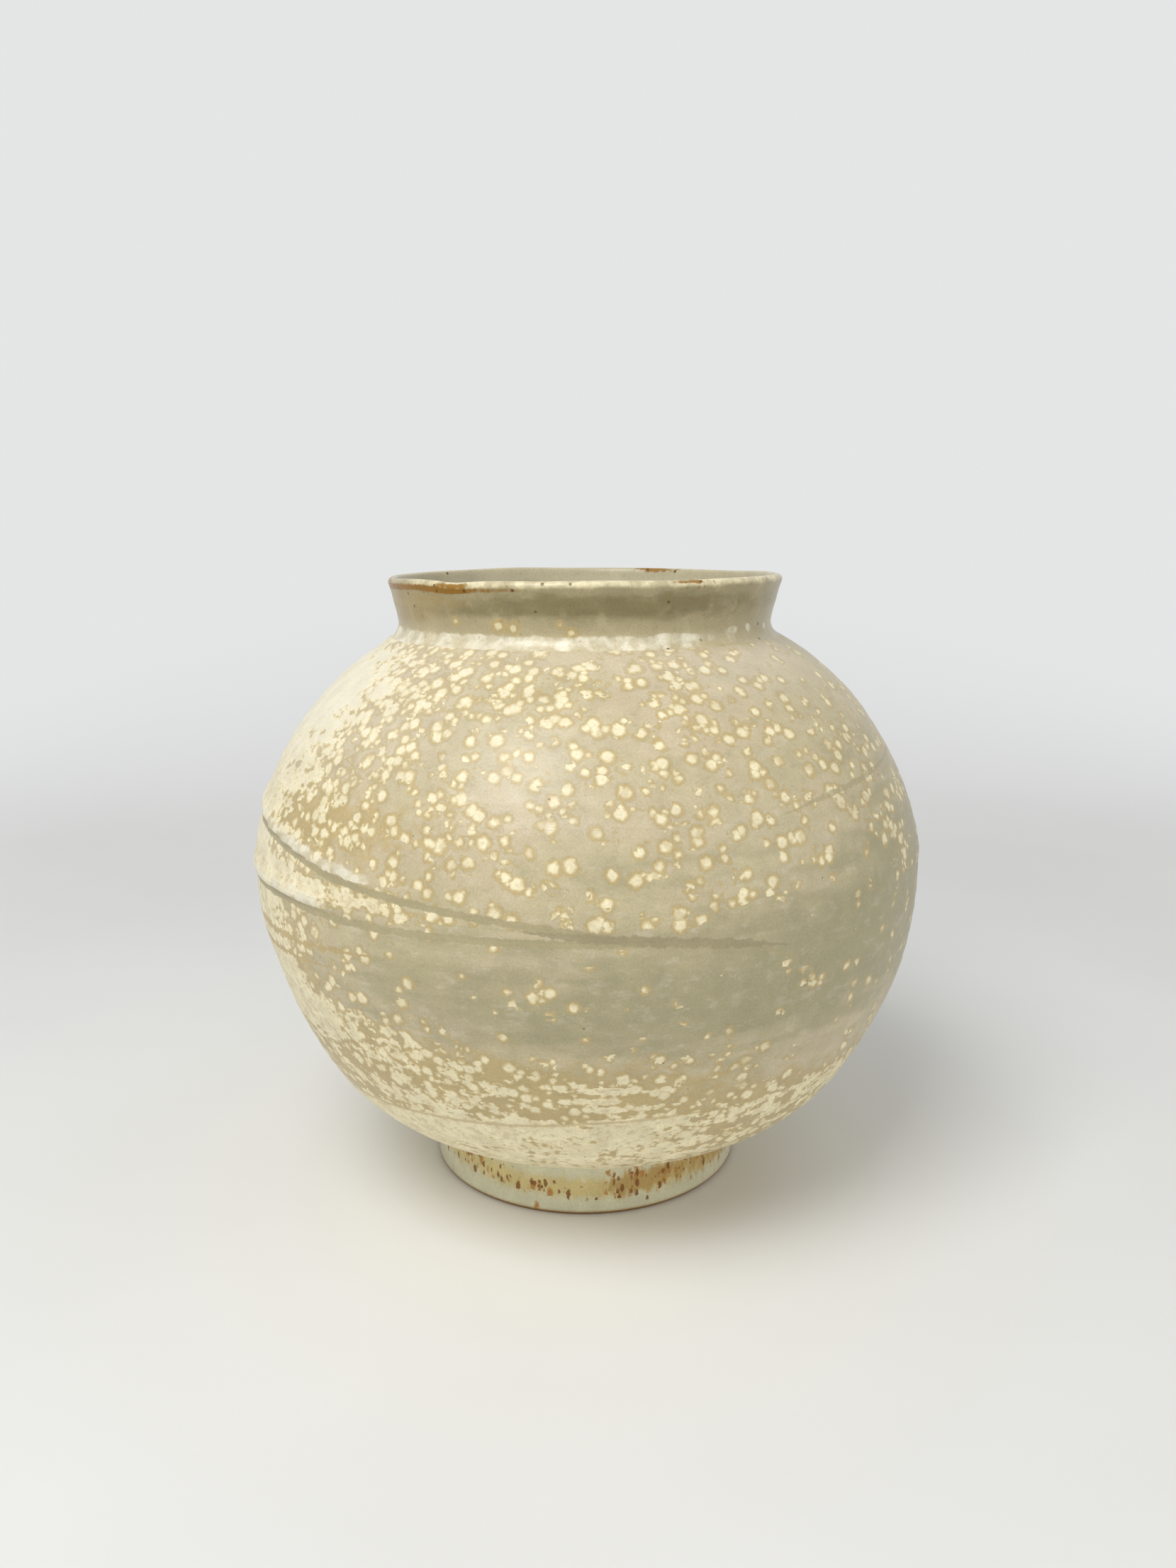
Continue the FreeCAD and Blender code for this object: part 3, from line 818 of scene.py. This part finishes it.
def collar_recipe(name):
    """Olive glaze of the neck, thin and burned at the lip, white where it meets the shoulder."""
    glaze = bpy.context.scene.jar_glaze
    mix = Recipe(name, glaze.collar)
    mix.shader.inputs["Specular IOR Level"].default_value = 0.36
    streaks = mix.sway(12 * MM, 4.0, mix.stretch((1, 1, 2.5)), 0.6)
    grain = mix.sway(2.0 * MM, 3.0)
    mix.coat(mix.ease(mix.ruffled(mix.painted("band"), streaks, 2.0), 0.0, 1.1), glaze.collar_band)
    mix.coat(mix.painted("pale"), glaze.ground)
    stain = mix.ease(mix.add(mix.painted("stain"), streaks), 0.1, 0.9, 0, 0.85)
    mix.coat(stain, mix.shade(tuple(glaze.halo), 0.76))
    fleck = mix.ruffled(mix.painted("fleck"), grain, 0.35)
    mix.coat(mix.ease(fleck, 0.03, 0.22, 0, 0.75), glaze.halo)
    mix.coat(mix.ease(fleck, 0.45, 0.85, 0, 0.75), glaze.fleck)
    whiten(mix)

    mix.coat(mix.painted("inner"), glaze.inside)
    lip = mix.ease(mix.ruffled(mix.painted("lip"), mix.sway(7 * MM, 3.0), 1.6), 0.05, 1.05)
    blotches = mix.ease(mix.noise(5 * MM), 0.4, 0.6, 0.4, 0.85)
    mix.coat(mix.times(lip, blotches), glaze.fleck)
    burned = mix.ruffled(mix.painted("ochre"), grain, 1.2)
    mix.coat(mix.ease(burned, 0.25, 0.95, 0, 0.98), glaze.ochre)
    worn = mix.ruffled(mix.painted("clay"), grain, 1.1)
    mix.coat(mix.ease(worn, 0.1, 0.45, 0, 0.8), glaze.ochre)
    bare = mix.ease(worn, 0.32, 0.7)
    mix.coat(bare, glaze.clay)

    rare = mix.ease(mix.add(mix.painted("ochre"), mix.painted("clay")), 0.05, 0.7, 0.985, 0.35)
    speckle(mix, 2.4 * MM, 0.2, 0.36, rare, 0.8, mix.shade(tuple(glaze.rust), 0.4))
    roughness = mix.ease(bare, 0, 1, 0.28, 0.7)
    return fired(mix, roughness, (mix.noise(2.2 * MM, 2.5), 0.05 * MM))


def inside_recipe(name):
    """Pale glaze inside the jar."""
    glaze = bpy.context.scene.jar_glaze
    mix = Recipe(name, glaze.inside)
    cloud = mix.noise(18 * MM, 3.0, mix.stretch((1, 1, 3)))
    mix.coat(mix.ease(cloud, 0.35, 0.7, 0, 0.5), glaze.celadon)
    speckle(mix, 6 * MM, 0.04, 0.09, 0.8, 0.6, glaze.rust)
    roughness = mix.ease(cloud, 0.3, 0.7, 0.34, 0.42)
    return fired(mix, roughness, (mix.noise(2.2 * MM, 2.5), 0.05 * MM))


def foot_recipe(name):
    """Glossy white glaze of the foot, with its yellow band, rust drips and bare standing edge."""
    glaze = bpy.context.scene.jar_glaze
    mix = Recipe(name, glaze.foot_white)
    runs = mix.sway(2.2 * MM, 3.0, mix.stretch((1, 1, 0.38)))
    band = mix.ruffled(mix.painted("band"), runs, 1.6)
    mix.coat(mix.ease(band, 0.2, 1.15, 0, 0.8), glaze.foot_band)
    smear = mix.ruffled(mix.painted("tan"), runs, 2.0)
    mix.coat(mix.ease(smear, 0.25, 1.05, 0, 0.85), glaze.foot_tan)
    rare = mix.ease(mix.painted("drips"), 0.05, 0.9, 1.1, 0.28)
    drawn = mix.stretch((1, 1, 0.45), mix.jostle(1.3 * MM, 0.6 * MM))
    for size, more, soft, colour in (
            (2.8 * MM, -0.14, 0.3, glaze.amber), (1.8 * MM, -0.1, 0.18, glaze.rust)):
        distance, chance, growth, _ = mix.cells(size, drawn)
        kept = mix.math("GREATER_THAN", chance, mix.add(rare, more))
        reach = mix.math("MULTIPLY_ADD", growth, 0.3, 0.3)
        drip = mix.ease(mix.less(reach, distance), -0.05, soft, 0, 0.9)
        mix.coat(mix.times(kept, drip), colour)
    bare = mix.painted("bare")
    mix.coat(bare, glaze.clay)
    return fired(mix, mix.ease(bare, 0, 1, 0.22, 0.75), (mix.noise(3 * MM), 0.06 * MM))


def paint_white(clay, share):
    """Keeps where the thick white glaze is, well below 0 where none may come."""
    clay.paint("white", share * 1.6 - 0.6)


def paint_body(clay):
    """Everything that the body's glaze reads."""
    base = np.interp(clay.above("stripe_low"), *BASE_COVER)
    base *= np.interp(clay.azimuth, *BASE_SHARES)
    cover = LEAST_COVER + clay.patches(COVER) + base
    clay.paint("cover", np.minimum(cover, np.maximum(base, MOST_COVER)))
    # Whiter glaze, and painted sheen on the top front.
    clay.paint("bright", np.clip(PLAIN_BRIGHT + clay.patches(BRIGHT_PLACES), 0, MOST_BRIGHT))
    clay.paint_patches(ochre=OCHRE_PLACES, celadon=CELADON_PLACES)
    for name in STRIPES:
        clay.paint(name, clay.stripe(name))
    paint_white(clay, np.maximum(clay.white_ring(*RING_ON_BODY), clay.rolls()))


def outer_half(radius, height, outside, wall):
    """Whether places are nearer to a wall's outer surface than to its inner one."""
    heights, radii = zip(*sorted((point.y, point.x) for point in outside))
    return radius > np.interp(height, heights, radii) - wall / 2


def line_inside(piece, mix, outside, wall, lowest=-math.inf, highest=math.inf):
    """Gives a second material to the faces of the inner wall, between two heights."""
    piece.data.materials.append(mix.material)
    middles = np.empty(len(piece.data.polygons) * 3)
    piece.data.polygons.foreach_get("center", middles)
    x, y, height = middles.reshape(-1, 3).T
    inner = ~outer_half(np.hypot(x, y), height, outside, wall)
    inner &= (height > lowest) & (height < highest)
    piece.data.polygons.foreach_set("material_index", inner.astype(np.int32))


class MOONJAR_OT_throw_foot(bpy.types.Operator):
    """Throws the foot ring with its bare standing edge"""

    bl_idname = "moonjar.throw_foot"
    bl_label = "Throw the foot"

    def execute(self, context):
        form = context.scene.jar_form
        bevel = form.foot_bevel
        top = BOWL_LOW.z
        inner = FOOT_RADIUS - form.foot_wall
        outline = [Vector((inner + bevel, 0)), Vector((FOOT_RADIUS - bevel, 0))]
        outline += straight(outline[-1], Vector((FOOT_RADIUS, bevel)), LIP_STEP)
        outline += straight(outline[-1], Vector((FOOT_RADIUS, top)), FINE_STEP / 2)
        outline += straight(outline[-1], Vector((inner - FOOT_TAPER, top)), COARSE_STEP)
        outline += straight(outline[-1], Vector((inner, bevel)), COARSE_STEP / 2)
        piece = throw("foot", outline, closed=True)
        clay = Clay(piece.data)
        clay.paint_patches(band=FOOT_BAND, tan=FOOT_TAN, drips=FOOT_DRIPS)
        clay.paint("bare", np.clip((form.bare_edge / MM - clay.height) / BARE_BLUR, 0, 1))
        uneven(clay, 0)
        glazed(piece, foot_recipe("foot_glaze"), "foot_glaze", "foot_ring", "foot_slip")
        return {"FINISHED"}


class MOONJAR_OT_throw_bowls(bpy.types.Operator):
    """Throws the two bowls of the body and the ring of slip between them"""

    bl_idname = "moonjar.throw_bowls"
    bl_label = "Throw the bowls"

    def execute(self, context):
        form = context.scene.jar_form
        glaze = body_recipe("body_glaze")
        lining = inside_recipe("lining_glaze")
        self.lower(form, glaze, lining)
        self.seam(form, glaze)
        self.upper(form, glaze, lining)
        return {"FINISHED"}

    def shaped(self, name, outline, closed, outside, wall):
        """Throws, paints and presses a piece of the body, whose outer surface follows outside."""
        piece = throw(name, outline, closed)
        clay = Clay(piece.data)
        paint_body(clay)
        uneven(clay, outer_half(clay.radius, clay.height * MM, outside, wall) * 1.0)
        return piece

    def lower(self, form, glaze, lining):
        places = bowl_places()
        outside = arcs_through(places, DOWN, FINE_STEP)
        rough = wall_inside(arcs_through(places, DOWN, COARSE_STEP), -form.wall)
        floor = BOWL_LOW.z + form.floor
        inside = [point for point in rough if point.y > floor + COARSE_STEP]
        rim_out, rim_in = Vector((BELLY_RADIUS, SEAM_LOW)), Vector((BELLY_RADIUS - form.wall, SEAM_LOW))
        pan = Vector((inside[-1].x - PAN_CURVE, floor))
        outline = [Vector((0, floor))] + straight(Vector((0, floor)), pan, COARSE_STEP * 2)
        outline += list(reversed(inside)) + [rim_in, rim_out]
        outline += straight(rim_out, outside[0], FINE_STEP) + outside[1:]
        outline += straight(outside[-1], Vector((0, BOWL_LOW.z)), COARSE_STEP * 2)
        piece = self.shaped("lower_bowl_glazed", outline, False, outside, form.wall)
        glazed(piece, glaze, "body_glaze", "lower_bowl")
        line_inside(piece, lining, outside, form.wall, lowest=floor - MM)

    def seam(self, form, glaze):
        outer, inner = BELLY_RADIUS, BELLY_RADIUS - form.wall
        middle = (SEAM_LOW + SEAM_HIGH) / 2
        outline = [Vector((inner, SEAM_LOW)), Vector((outer, SEAM_LOW)), Vector((outer, middle)),
                   Vector((outer, SEAM_HIGH)), Vector((inner, SEAM_HIGH))]
        piece = self.shaped("belly_seam", outline, True, outline[1:4], form.wall)
        glazed(piece, glaze, "clay_slip", "belly_slip")

    def upper(self, form, glaze, lining):
        places = dome_places()
        outside = arcs_through(places, UP, FINE_STEP)
        inside = wall_inside(arcs_through(places, UP, COARSE_STEP), form.wall)
        slope = (outside[-2] - outside[-1]).normalized()
        trimmed = neck_inside(form, outside[-1], slope)[1]
        inside = [point for point in inside if point.x > trimmed.x]
        outline = [Vector((BELLY_RADIUS - form.wall, SEAM_HIGH))] + outside
        outline += [outside[-1] - DOME_EDGE, trimmed + turned(slope) * INSIDE_PROUD * 2]
        outline += list(reversed(inside[1:]))
        piece = self.shaped("upper_bowl_glazed", outline, True, outside, form.wall)
        glazed(piece, glaze, "body_glaze", "upper_bowl")
        line_inside(piece, lining, outside, form.wall)


def neck_inside(form, corner, slope):
    """Start and end of the sweep inside the jar, from the neck's wall to the dome's."""
    across = turned(slope) * -1
    on_dome = corner + across * (form.wall + INSIDE_PROUD)
    inner = Vector((NECK_RADIUS - form.neck_wall, 0))
    inner.y = on_dome.y + slope.y * (inner.x - on_dome.x) / slope.x
    return inner + UP * form.inside_sweep, inner + slope * form.inside_sweep


class MOONJAR_OT_throw_neck(bpy.types.Operator):
    """Throws the neck collar, swept into the shoulder and rounded at its lip"""

    bl_idname = "moonjar.throw_neck"
    bl_label = "Throw the neck"

    def execute(self, context):
        form = context.scene.jar_form
        lip_radius = form.lip
        lip = Vector((NECK_HIGH.x - lip_radius, NECK_HIGH.z - lip_radius))
        sweep = form.neck_sweep
        # The shoulder's slope where the neck stands on it is the dome's last direction.
        dome = arcs_through(dome_places(), UP, FINE_STEP)
        slope = (dome[-2] - dome[-1]).normalized()
        corner = Vector((NECK_RADIUS, DOME_HIGH.z))
        opening = math.acos(slope.dot(UP))
        tangent = sweep / math.tan(opening / 2)
        foot = corner + slope * tangent
        sweep_top = corner + UP * tangent
        fillet, _ = arc_between(sweep_top, foot, DOWN, LIP_STEP * 1.6)
        hollow, _ = arc_between(sweep_top, lip + LIP_JOIN * lip_radius, UP, FINE_STEP / 2)
        around = []
        for number in range(LIP_POINTS):
            angle = math.radians(LIP_FIRST + number * LIP_TURN)
            around.append(lip + Vector((math.cos(angle), math.sin(angle))) * lip_radius)
        outline = [foot + BURIED] + list(reversed(fillet)) + [sweep_top] + hollow + around
        ends = neck_inside(form, corner, slope)
        outline += straight(outline[-1], ends[0], FINE_STEP)
        outline += arc_between(*ends, DOWN, LIP_STEP * 2)[0]
        piece = throw("neck_glazed", outline, closed=True)
        clay = Clay(piece.data)
        height, azimuth = clay.height, clay.azimuth
        middle = np.interp(height, NECK_MIDDLE, (NECK_RADIUS - form.neck_wall / 2, lip.x))
        outer = (clay.radius > middle) * 1.0
        clay.paint_patches(clay=CLAY_PLACES)
        clay.paint_patches(outer, ochre=COLLAR_OCHRE, stain=COLLAR_STAINS, fleck=COLLAR_FLECKS)
        clay.paint("inner", 1 - outer)
        band = np.exp(-((height - BAND_HEIGHT) / BAND_SPREAD) ** 2)
        clay.paint("band", band * np.interp(np.abs(azimuth), *BAND_SHARES) * outer)
        clay.paint("pale", np.interp(height, *PALE_SHARES) * outer)
        drawn_up = np.interp(height, *DRAWN_UP) * np.interp(azimuth, *DRAWN_UP_SHARES)
        clay.paint("lip", drawn_up * outer)
        paint_white(clay, (clay.white_ring(*RING_ON_NECK) + clay.patches(COLLAR_WHITES)) * outer)
        uneven(clay, 0)
        glazed(piece, collar_recipe("neck_glaze"), "neck_glaze", "neck_collar", "neck_slip")
        line_inside(piece, inside_recipe("neck_lining_glaze"), [sweep_top, lip], 2 * lip_radius,
                    highest=lip.y - lip_radius)
        return {"FINISHED"}


class MOONJAR_OT_set_stage(bpy.types.Operator):
    """Lays the floor, hangs the lamps and sets the camera"""

    bl_idname = "moonjar.set_stage"
    bl_label = "Set the stage"

    def execute(self, context):
        stage = context.scene.jar_stage
        self.camera(context, stage)
        self.floor(stage)
        self.lamp("key", stage.key_power, KEY_SIZE, KEY_PLACE)
        self.lamp("fill", stage.fill_power, FILL_SIZE, FILL_PLACE)
        self.sky(context, stage)
        context.scene.view_settings.view_transform = "Standard"
        return {"FINISHED"}

    def camera(self, context, stage):
        data = bpy.data.cameras.new("camera")
        data.lens = stage.focal
        data.sensor_width = SENSOR
        camera = bpy.data.objects.new("camera", data)
        context.scene.collection.objects.link(camera)
        turn = Matrix.Rotation(CAMERA_TURN, 4, "Z")
        tilt = Matrix.Rotation(math.pi / 2 - CAMERA_TILT, 4, "X")
        roll = Matrix.Rotation(CAMERA_ROLL, 4, "Z")
        place = Matrix.Translation((CAMERA_ASIDE, -stage.distance, stage.height))
        camera.matrix_world = place @ turn @ tilt @ roll
        context.scene.camera = camera

    def floor(self, stage):
        bpy.ops.object.select_all(action="DESELECT")
        bpy.ops.mesh.primitive_plane_add(size=2 * FLOOR_REACH, location=(0, 0, 0))
        floor = bpy.context.object
        floor.name = "floor"
        bpy.ops.object.mode_set(mode="EDIT")
        bpy.ops.mesh.select_mode(type="EDGE")
        bpy.ops.mesh.select_all(action="DESELECT")
        bpy.ops.object.mode_set(mode="OBJECT")
        self.open_edges(floor, lambda end: end.y > 0)
        bpy.ops.mesh.extrude_region_move(TRANSFORM_OT_translate={"value": (0, 0, 2 * FLOOR_REACH)})
        bpy.ops.object.mode_set(mode="OBJECT")
        self.open_edges(floor, lambda end: end.y > 0 and end.z == 0)
        bpy.ops.mesh.bevel(offset=FLOOR_CURVE, segments=FLOOR_CURVE_STEPS)
        bpy.ops.object.mode_set(mode="OBJECT")
        bpy.ops.object.shade_smooth()
        mix = Recipe("floor_paint", tuple(stage.floor_colour))
        mix.shader.inputs["Roughness"].default_value = FLOOR_ROUGHNESS
        grain = mix.ease(mix.noise(0.25, 3.0), 0.3, 0.7, 0.98, 1.02)
        mix.feed(mix.shader.inputs["Base Color"], mix.shade(mix.colour, grain))
        self.paler_far_away(mix)
        floor.data.materials.append(mix.material)

    def open_edges(self, floor, wanted):
        """Opens the floor for editing, with the edges selected whose ends are both wanted."""
        for edge in floor.data.edges:
            edge.select = all(wanted(floor.data.vertices[end].co) for end in edge.vertices)
        bpy.ops.object.mode_set(mode="EDIT")

    def paler_far_away(self, mix):
        """Shows the backdrop pale where the lamps don't reach it, to camera and mirror rays only."""
        rays = mix.node("LightPath").outputs
        seen_rays = mix.math("MAXIMUM", rays["Is Camera Ray"], rays["Is Glossy Ray"])
        far = mix.ease(mix.vector("LENGTH", mix.place), PALER_FROM, PALEST_FROM)
        glow = mix.node("Emission", {"Color": BACKDROP_COLOUR}).outputs[0]
        either = mix.node("MixShader", (mix.times(far, seen_rays), mix.shader.outputs[0], glow))
        mix.feed(mix.tree.nodes["Material Output"].inputs["Surface"], either.outputs[0])

    def lamp(self, name, power, size, place):
        data = bpy.data.lights.new(name, "AREA")
        data.energy = power
        data.size = size
        lamp = bpy.data.objects.new(name, data)
        bpy.context.scene.collection.objects.link(lamp)
        aim = LIT_PLACE - place
        lamp.matrix_world = Matrix.Translation(place) @ aim.to_track_quat("-Z", "Y").to_matrix().to_4x4()

    def sky(self, context, stage):
        """Even light from all round, and a pale backdrop where the camera sees past the floor."""
        world = bpy.data.worlds.new("studio")
        context.scene.world = world
        world.use_nodes = True
        world.node_tree.nodes.clear()
        sky = Nodes(world.node_tree)
        soft = sky.node("Background", {"Color": SKY_LIGHT, "Strength": stage.sky}).outputs[0]
        shown = sky.node("Background", {"Color": SKY_SHOWN}).outputs[0]
        seen_rays = sky.node("LightPath").outputs["Is Camera Ray"]
        either = sky.node("MixShader", (seen_rays, soft, shown)).outputs[0]
        sky.node("OutputWorld", {"Surface": either})


class MOONJAR_PT_workshop(bpy.types.Panel):
    """Lists the jar's settings and steps"""

    bl_label = "Moon jar"
    bl_idname = "MOONJAR_PT_workshop"
    bl_space_type = "VIEW_3D"
    bl_region_type = "UI"
    bl_category = "Moon Jar"

    def draw(self, context):
        for group in (context.scene.jar_form, context.scene.jar_glaze, context.scene.jar_stage):
            box = self.layout.box()
            for name in group.bl_rna.properties.keys():
                if name not in ("rna_type", "name"):
                    box.prop(group, name)
        for step in STEPS:
            self.layout.operator(step.bl_idname)


GROUPS = {"jar_form": JarForm, "jar_glaze": JarGlaze, "jar_stage": JarStage}
STEPS = (MOONJAR_OT_set_stage, MOONJAR_OT_throw_foot, MOONJAR_OT_throw_bowls, MOONJAR_OT_throw_neck)


def register():
    for made in (*GROUPS.values(), *STEPS, MOONJAR_PT_workshop):
        bpy.utils.register_class(made)
    for name, group in GROUPS.items():
        setattr(bpy.types.Scene, name, PointerProperty(type=group))


def unregister():
    for name in GROUPS:
        delattr(bpy.types.Scene, name)
    for made in reversed((*GROUPS.values(), *STEPS, MOONJAR_PT_workshop)):
        bpy.utils.unregister_class(made)


def main():
    register()
    bpy.ops.moonjar.set_stage()
    bpy.ops.moonjar.throw_foot()
    bpy.ops.moonjar.throw_bowls()
    bpy.ops.moonjar.throw_neck()


if __name__ == "__main__":
    main()
